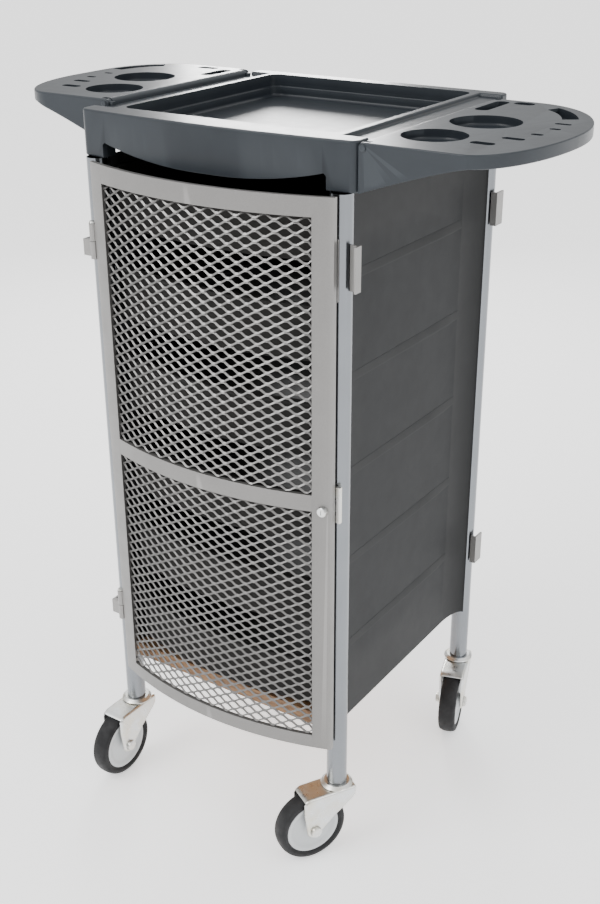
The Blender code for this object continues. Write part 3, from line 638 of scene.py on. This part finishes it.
# ----------------------------------------------------------------------- wings
# Each wing in plan, x outward and y from the pivot's middle: the centres of its two rounded
# corners, and its wells as bowls (x, y, radius), slots (x0, x1, y0, y1) and one pocket that
# follows the rim (centre x, centre y, radius in x, radius in y, first angle, last angle, half width).
WINGS = {
    1: {
        "corner": (0.2927, -0.0236), "centre": (0.2349, -0.0186),
        "bowls": ((0.229, -0.098, 0.0345), (0.240, -0.004, 0.0385)),
        "slots": ((0.194, 0.211, 0.056, 0.122), (0.216, 0.240, 0.112, 0.127),
                  (0.274, 0.300, -0.115, -0.103), (0.291, 0.315, -0.078, -0.068),
                  (0.3075, 0.3205, -0.045, -0.037), (0.312, 0.324, -0.0085, -0.0015),
                  (0.305, 0.323, 0.0215, 0.0285)),
        "pocket": (0.2349, -0.0186, 0.0896, 0.1336, 33.0, 68.0, 0.009),
    },
    -1: {
        "corner": (0.281, 0.0094), "centre": (0.2736, 0.057),
        "bowls": ((0.229, -0.056, 0.0345), (0.258, 0.035, 0.0385)),
        "slots": ((0.194, 0.211, 0.086, 0.138), (0.222, 0.252, 0.134, 0.147),
                  (0.274, 0.300, -0.075, -0.063), (0.291, 0.315, -0.038, -0.028),
                  (0.3095, 0.3225, -0.005, 0.003), (0.313, 0.325, 0.0315, 0.0385)),
        "pocket": (0.2736, 0.057, 0.060, 0.081, 8.0, 62.0, 0.008),
    },
}
BOWL_DEPTH = 0.011
SLOT_DEPTH = 0.010
WELL_WALL = 0.002
WING_SKIN = 0.003
WING_EDGE = 0.014
ROOT_END = 0.300


def wing_outline(side, inset):
    """Plan of a wing, x outward: straight root and front edge, rounded outer end."""
    low, high = WING_BOXES[side]
    root = min(abs(low.x), abs(high.x)) + inset
    tip = max(abs(low.x), abs(high.x)) - inset
    front = low.y + inset
    rear = high.y - inset
    shape = [(root, rear), (root, front)]
    x, y = WINGS[side]["corner"]
    y += SHIFT_Y
    for i in range(19):
        a = math.radians(-90.0 + 90.0 * i / 18)
        shape.append((x + (tip - x) * math.cos(a), y + (y - front) * math.sin(a)))
    x, y = WINGS[side]["centre"]
    y += SHIFT_Y
    for i in range(25):
        a = math.radians(90.0 * i / 24)
        point = (x + (tip - x) * math.cos(a), y + (rear - y) * math.sin(a))
        if point[1] > shape[-1][1] + 0.001:
            shape.append(point)
    return shape


def wing_side_profile(side):
    """Side view of the wing, x against z: deep at the root, thin outside."""
    low, high = WING_BOXES[side]
    root = min(abs(low.x), abs(high.x))
    outer = max(abs(low.x), abs(high.x)) + 0.02
    pivot = (abs(PIVOTS[side][0]), PIVOTS[side][2])
    top = high.z
    edge = top - WING_EDGE
    points = arc(pivot, pivot[0] - root, 180.0, 90.0, 8)
    points += [(outer, top), (outer, edge)]
    for i in range(15):
        t = i / 14.0
        points.append((ROOT_END + (root - ROOT_END) * t, edge - (edge - TRAY_LOW.z) * t ** 1.15))
    return points


def pocket_outline(pocket, grow):
    """Band that follows the rim, widened all round by a wall thickness."""
    x, y, rx, ry, first, last, half = pocket
    half += grow
    extra = math.degrees(grow / ry)
    outline = []
    for way in (1, -1):
        for i in range(17):
            t = i / 16.0 if way > 0 else 1.0 - i / 16.0
            a = math.radians(first - extra + (last - first + 2.0 * extra) * t)
            outline.append((x + (rx + way * half) * math.cos(a), y + (ry + way * half) * math.sin(a)))
    return outline


def wing_wells(side, grow, drop, ceiling):
    """Solids of every well of a wing, grown by a wall; drop lowers their floors."""
    wing = WINGS[side]
    top = WING_BOXES[side][1].z
    solids = []
    for x, y, r in wing["bowls"]:
        centre = (side * x, SHIFT_Y + y, 0.0)
        solids.append(("bowl", rod("well", r + grow, centre, top - BOWL_DEPTH - drop, ceiling, "Z", 72)))
    outlines = [pocket_outline(wing["pocket"], grow)]
    for x0, x1, y0, y1 in wing["slots"]:
        r = min(x1 - x0, y1 - y0) * 0.45 + grow
        outlines.append(rounded_rect(x0 - grow, x1 + grow, y0 - grow, y1 + grow, r, 8))
    for outline in outlines:
        outline = mirrored([(a, SHIFT_Y + b) for a, b in outline], side)
        solids.append(("slot", prism("well", outline, top - SLOT_DEPTH - drop, ceiling)))
    return solids


def make_wing(side, name, body, node):
    """Fold-up side wing with bowls and tool wells, hollow underneath."""
    top = WING_BOXES[side][1].z
    pivot = PIVOTS[side]
    wing = prism(name, mirrored(wing_outline(side, 0.0), side), TRAY_LOW.z - 0.002, top + 0.01)
    shape = prism("shape", mirrored(wing_side_profile(side), side), -0.4, 0.4, "Y")
    combine(wing, shape, "INTERSECT")
    bevel(wing, 0.0022, 3, 50.0)
    inner = mirrored(wing_outline(side, WING_SKIN), side)
    cut(wing, prism("hollow", inner, TRAY_LOW.z - 0.02, top - WING_SKIN))
    for _, solid in wing_wells(side, WELL_WALL, WELL_WALL, top - 0.0025):
        add(wing, solid)
    for kind, solid in wing_wells(side, 0.0, 0.0, top + 0.02):
        bevel(solid, 0.0035 if kind == "bowl" else 0.0016, 4, 50.0)
        cut(wing, solid)
    for y0, y1 in knuckle_spans(side):
        near, far = sorted((pivot[0] - side * 0.012, pivot[0] + side * 0.0062))
        low = (near, y0 - 0.0004, pivot[2] - 0.0075)
        cut(wing, box("notch", low, (far, y1 + 0.0004, top + 0.02)))
    cut(wing, rod("bore", 0.0023, (pivot[0], 0.0, pivot[2]), -0.4, 0.4, "Y", 24))
    bevel(wing, 0.0006, 2, 50.0)
    smooth(wing)
    return place(wing, body, "tray_plastic", TRAY_PLASTIC, node)


# ---------------------------------------------------------- posts, panels, base
def make_post(tag):
    """Polished tube with a rolled lower end."""
    low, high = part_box("post_" + tag)
    r, bore = POST_R, POST_R - POST_WALL
    profile = [(r - 0.0006, low.z), (r, low.z + 0.0008), (r, high.z), (bore, high.z), (bore, low.z)]
    centre = ((low.x + high.x) / 2, (low.y + high.y) / 2, 0.0)
    obj = smooth(turned("tube_" + tag, profile, centre))
    place(obj, "frame", "post_tube", POST_TUBE, "post_" + tag)


def panel_outline():
    """Plan of the right side panel: flat sheet that coves outward at the rear."""
    front, rear = PANEL_LOW.y, PANEL_HIGH.y
    inside = PANEL_X - PANEL_T
    begin = PANEL_COVE + 0.0016
    outer = [(PANEL_X, front), (PANEL_X, PANEL_COVE)]
    inner = [(inside, front), (inside, PANEL_COVE)]
    for i in range(20):
        a = (i + 1) / 20.0 * math.pi / 2
        flare = PANEL_FLARE * (1.0 - math.cos(a))
        outer.append((PANEL_X + flare, PANEL_COVE + (rear - PANEL_COVE) * math.sin(a)))
        inner.append((inside + flare, begin + (rear - begin) * math.sin(a)))
    return outer + list(reversed(inner))


def ridge(side, z):
    """Wedge-shaped lap ridge that rises toward the rear of a side panel and ends in a step."""
    front, end = PANEL_LOW.y + 0.0035, SHIFT_Y + 0.114
    bm = bmesh.new()
    rings = []
    for k in range(9):
        t = k / 8.0
        rise = 0.0007 + 0.0023 * t if k < 8 else 0.0002
        section = [(-0.0065, -0.001), (-0.0055, rise * 0.9), (-0.0035, rise)]
        section += [(0.0050, 0.0002), (0.0052, -0.001)]
        y = front + (end - front) * t
        rings.append([bm.verts.new((side * (PANEL_X + out), y, z + dz)) for dz, out in section])
    for low, high in zip(rings, rings[1:]):
        for a in range(5):
            b = (a + 1) % 5
            bm.faces.new((low[a], low[b], high[b], high[a]))
    bm.faces.new(rings[0])
    bm.faces.new(list(reversed(rings[-1])))
    return mesh_object("ridge", bm)


def make_panel(side, tag):
    """Side panel with lap ridges outside, drawer ledges and a board cleat inside."""
    outline = mirrored(panel_outline(), side)
    obj = prism("panel_soft_" + tag, outline, PANEL_LOW.z, PANEL_HIGH.z)
    for i in range(5):
        add(obj, ridge(side, PANEL_LOW.z + RIDGE_FIRST + RIDGE_STEP * i))
    near, far = span(side, LEDGE_X, LEDGE_ROOT)
    for i in range(6):
        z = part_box("drawer_%d" % (i + 1))[1].z - 0.0033
        add(obj, box("ledge", (near, LEDGE_FRONT, z - LEDGE_T), (far, LEDGE_REAR, z)))
    near, far = span(side, CLEAT_X, LEDGE_ROOT)
    low = (near, LEDGE_FRONT, PANEL_LOW.z + 0.0005)
    add(obj, box("cleat", low, (far, SHIFT_Y + 0.148, BOARD_TOP - 0.001)))
    smooth(obj, 30.0)
    return place(obj, "frame", "panel_plastic", PANEL_PLASTIC, "side_panel_" + tag)


# --------------------------------------------------------------------- drawers
def drawer_outline(inset, corner):
    """Plan of a drawer: bowed front, rounded corners."""
    half = DRAWER_HALF - inset
    rear = DRAWER_REAR - inset
    flat = half - corner * 0.6
    shoulder = DRAWER_FRONT + inset + corner * 0.5
    points = []
    for i in range(25):
        x = -flat + 2.0 * flat * i / 24
        points.append((x, bow(x, DRAWER_HALF, DRAWER_FRONT, DRAWER_BOW) + inset))
    points.append((half, shoulder))
    points += arc((half - corner, rear - corner), corner, 0.0, 90.0, 5)
    points += arc((-half + corner, rear - corner), corner, 90.0, 180.0, 5)
    points.append((-half, shoulder))
    return points


def make_drawer(index):
    """Moulded drawer with a rolled front lip and side flanges."""
    node = "drawer_%d" % index
    low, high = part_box(node)
    obj = prism(node + "_soft", drawer_outline(0.0, 0.008), low.z, high.z)
    bevel(obj, 0.0018, 3, 50.0)
    front = DRAWER_FRONT
    lip = bowed_strip(-0.143, 0.143, DRAWER_HALF, front - 0.006, front + 0.0015, DRAWER_BOW, 24)
    lip = prism("lip", lip, high.z - 0.0048, high.z - 0.0004)
    add(obj, bevel(lip, 0.0016, 3, 50.0))
    for side in (-1, 1):
        near, far = span(side, 0.1435, FLANGE_X)
        add(obj, box("flange", (near, LEDGE_FRONT, high.z - 0.003), (far, LEDGE_REAR, high.z - 0.0002)))
    inner = prism("hollow", drawer_outline(DRAWER_WALL, 0.006), low.z + DRAWER_WALL, high.z + 0.02)
    cut(obj, bevel(inner, 0.003, 3, 50.0))
    smooth(obj)
    return place(obj, node, "drawer_plastic", DRAWER_PLASTIC_AND_SHADE, node)


# --------------------------------------------------------------------- castors
def fork_outline():
    """Side view of a fork leg: broad under the hood, round at the axle."""
    points = arc((-TRAIL, WHEEL_R), 0.0110, 200.0, 350.0, 16)
    points += [(-0.010, 0.060), (0.004, 0.070), (0.0140, 0.0775), (0.0190, 0.083)]
    points += [(0.0205, HOOD_Z - 0.004), (0.0190, HOOD_Z - 0.0008), (0.0170, HOOD_Z)]
    points += [(-0.044, HOOD_Z), (-0.0500, HOOD_Z - 0.0030), (-0.0525, HOOD_Z - 0.0075), (-0.0525, 0.073)]
    return points


def both_sides(profile):
    """Profile of a wheel part from its half: the far side mirrors the near one."""
    return profile + [(r, -h) for r, h in reversed(profile)]


def make_cup(tag, px, py):
    """Turned cup that carries the castor at the foot of its post."""
    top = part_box("post_" + tag)[0].z - 0.0003
    base = HOOD_Z + 0.0006
    profile = [(0.0, base), (0.0192, base), (0.0200, base + 0.0006), (0.0200, base + 0.0014)]
    profile += [(0.0192, base + 0.0024), (0.0172, base + 0.0036), (0.0160, top), (0.0, top)]
    cup = smooth(turned("cup_" + tag, profile, (px, py, 0.0)))
    place(cup, "frame", "zinc_plate", ZINC, "castor_cup_" + tag)


def make_fork(tag, seat):
    """Pressed fork with a soft hood, hollow round the wheel."""
    fork = prism("fork_" + tag, fork_outline(), -FORK_OUT, FORK_OUT, "Y")
    bevel(fork, 0.0042, 5, 50.0)
    cut(fork, rod("room", WHEEL_R + 0.0018, (-TRAIL, 0.0, WHEEL_R), -FORK_IN, FORK_IN, "Y", 72))
    cut(fork, box("low", (-0.1, -FORK_IN, 0.0), (0.1, FORK_IN, WHEEL_R)))
    cut(fork, rod("bore", 0.0043, (-TRAIL, 0.0, WHEEL_R), -0.05, 0.05, "Y", 32))
    smooth(fork)
    fork.data.transform(seat)
    place(fork, "fork_" + tag, "zinc_plate", ZINC, "castor_fork_" + tag)


def make_tyre(tag, seat):
    """Tyre with a round tread."""
    half, rim, crown = 0.0120, 0.0353, WHEEL_R - 0.0045
    profile = [(rim, -half * 0.80), (rim + 0.002, -half * 0.90), (rim + 0.0035, -half)]
    profile += [(WHEEL_R - 0.0060, -half), (crown, -half * 0.96)]
    for k in range(1, 6):
        a = math.radians(15 * k)
        profile.append((crown + 0.0045 * math.sin(a), -half * 0.96 * math.cos(a) ** 0.8))
    profile.append((WHEEL_R, 0.0))
    profile += [(r, -h) for r, h in reversed(profile[:-1])]
    tyre = smooth(turned("tyre_" + tag, profile, (-TRAIL, 0.0, WHEEL_R), "Y", 96))
    tyre.data.transform(seat)
    place(tyre, "wheel_" + tag, "tyre_rubber", RUBBER, "castor_tyre_" + tag)


def make_hub(tag, seat):
    """Dished hub cover with a raised rim and a boss round the axle."""
    profile = [(0.0041, -0.0137), (0.0085, -0.0137), (0.0095, -0.0132), (0.0105, -0.0105)]
    profile += [(0.0130, -0.0086), (0.0240, -0.0078), (0.0280, -0.0084), (0.0302, -0.0100)]
    profile += [(0.0332, -0.0104), (0.0350, -0.0096)]
    hub = smooth(turned("hub_" + tag, both_sides(profile), (-TRAIL, 0.0, WHEEL_R), "Y", 96))
    hub.data.transform(seat)
    place(hub, "wheel_" + tag, "hub_plastic", HUB, "castor_hub_" + tag)


def make_bolt(tag, seat):
    """Axle bolt with a round head and a hexagon nut."""
    bolt, nut_r = FORK_OUT + 0.0003, 0.0072
    profile = [(0.0, -bolt - 0.0042), (0.0045, -bolt - 0.0040), (0.0068, -bolt - 0.0030), (0.0075, -bolt)]
    profile += [(0.0040, -bolt), (0.0040, bolt), (0.0, bolt)]
    axle = turned("bolt_" + tag, profile, (-TRAIL, 0.0, WHEEL_R), "Y", 40)
    corners = [math.radians(60 * k) for k in range(6)]
    hexagon = [(-TRAIL + nut_r * math.cos(a), WHEEL_R + nut_r * math.sin(a)) for a in corners]
    add(axle, bevel(prism("nut", hexagon, bolt, bolt + 0.0048, "Y"), 0.0006, 2, 40.0))
    smooth(axle, 30.0)
    axle.data.transform(seat)
    place(axle, "fork_" + tag, "zinc_plate", ZINC, "castor_axle_" + tag)


def make_castor(tag):
    """One swivel castor, built along x and then turned to stand at its post."""
    px, py = JOINTS["swivel_" + tag]["pos_m"][:2]
    wx, wy = JOINTS["wheel_%s_spin" % tag]["pos_m"][:2]
    turn = Matrix.Rotation(math.atan2(py - wy, px - wx), 4, "Z")
    seat = Matrix.Translation(Vector((px, py, 0.0))) @ turn
    make_cup(tag, px, py)
    make_fork(tag, seat)
    make_tyre(tag, seat)
    make_hub(tag, seat)
    make_bolt(tag, seat)


# ------------------------------------------------------------ floor and lights
def make_floor():
    """Wide pale floor."""
    floor = bpy.data.objects.new("floor", bpy.data.meshes.new("floor"))
    bm = bmesh.new()
    bmesh.ops.create_grid(bm, x_segments=1, y_segments=1, size=60.0)
    bm.to_mesh(floor.data)
    bm.free()
    bpy.context.scene.collection.objects.link(floor)
    mat, shader = new_material("floor", (0.92, 0.92, 0.92), 0.0, 0.85)
    connect(mat, ramp(mat, noise(mat, 3.0), 0.82, 0.90), shader.inputs["Roughness"])
    shader.inputs["Emission Color"].default_value = (1.0, 1.0, 1.0, 1.0)
    shader.inputs["Emission Strength"].default_value = 0.8
    floor.data.materials.append(mat)


def make_surround():
    """Plain surround, bright overhead and dimmer round the sides."""
    world = bpy.data.worlds.new("studio")
    bpy.context.scene.world = world
    world.use_nodes = True
    back = world.node_tree.nodes["Background"]
    coords = world.node_tree.nodes.new("ShaderNodeTexCoord")
    split = world.node_tree.nodes.new("ShaderNodeSeparateXYZ")
    connect(world, coords.outputs["Generated"], split.inputs["Vector"])
    connect(world, ramp(world, split.outputs["Z"], 0.36, 1.0, 0.10, 0.60), back.inputs["Color"])
    back.inputs["Strength"].default_value = 1.45


def make_lights():
    """Large key from the front left, weak side light, and a low one that glazes the tray's deck."""
    for name, spot, aim, size, power in (
        ("key", (-1.2, -2.2, 2.6), (0.0, 0.0, 0.5), 1.6, 60.0),
        ("side", (2.8, -0.6, 1.9), (0.0, 0.0, 0.5), 1.4, 22.0),
        ("glare", (-1.33, 1.95, 1.32), (0.0, 0.0, 0.9), 0.6, 24.0),
    ):
        light = bpy.data.lights.new(name, "AREA")
        light.size = size
        light.energy = power
        lamp = bpy.data.objects.new(name, light)
        lamp.location = spot
        lamp.rotation_euler = (Vector(aim) - Vector(spot)).to_track_quat("-Z", "Y").to_euler()
        bpy.context.scene.collection.objects.link(lamp)


def make_camera():
    """Camera at the front right, a little above the tray."""
    data = bpy.data.cameras.new("camera")
    data.sensor_fit = "VERTICAL"
    data.sensor_height = 36.0
    data.lens = 49.5
    cam = bpy.data.objects.new("camera", data)
    cam.location = (0.8139, -1.1888, 1.1298)
    cam.rotation_euler = (math.radians(65.0), math.radians(0.3), math.radians(33.6))
    bpy.context.scene.collection.objects.link(cam)
    bpy.context.scene.camera = cam


def main():
    """Dress the frame, add the detailed pieces and set the studio."""
    dress_cad_nodes()
    make_door_mesh("diamond_upper", "door_mesh_upper", UPPER_LOW, UPPER_HIGH)
    make_door_mesh("diamond_lower", "door_mesh_lower", LOWER_LOW, LOWER_HIGH)
    make_door_frame()
    make_tray()
    make_wing(1, "wing_soft_R", "wing_right", "wing_R")
    make_wing(-1, "wing_soft_L", "wing_left", "wing_L")
    for tag in ("FL", "FR", "RL", "RR"):
        make_post(tag)
        make_castor(tag)
    make_panel(1, "R")
    make_panel(-1, "L")
    for index in range(1, 7):
        make_drawer(index)
    make_floor()
    make_surround()
    make_lights()
    make_camera()


main()
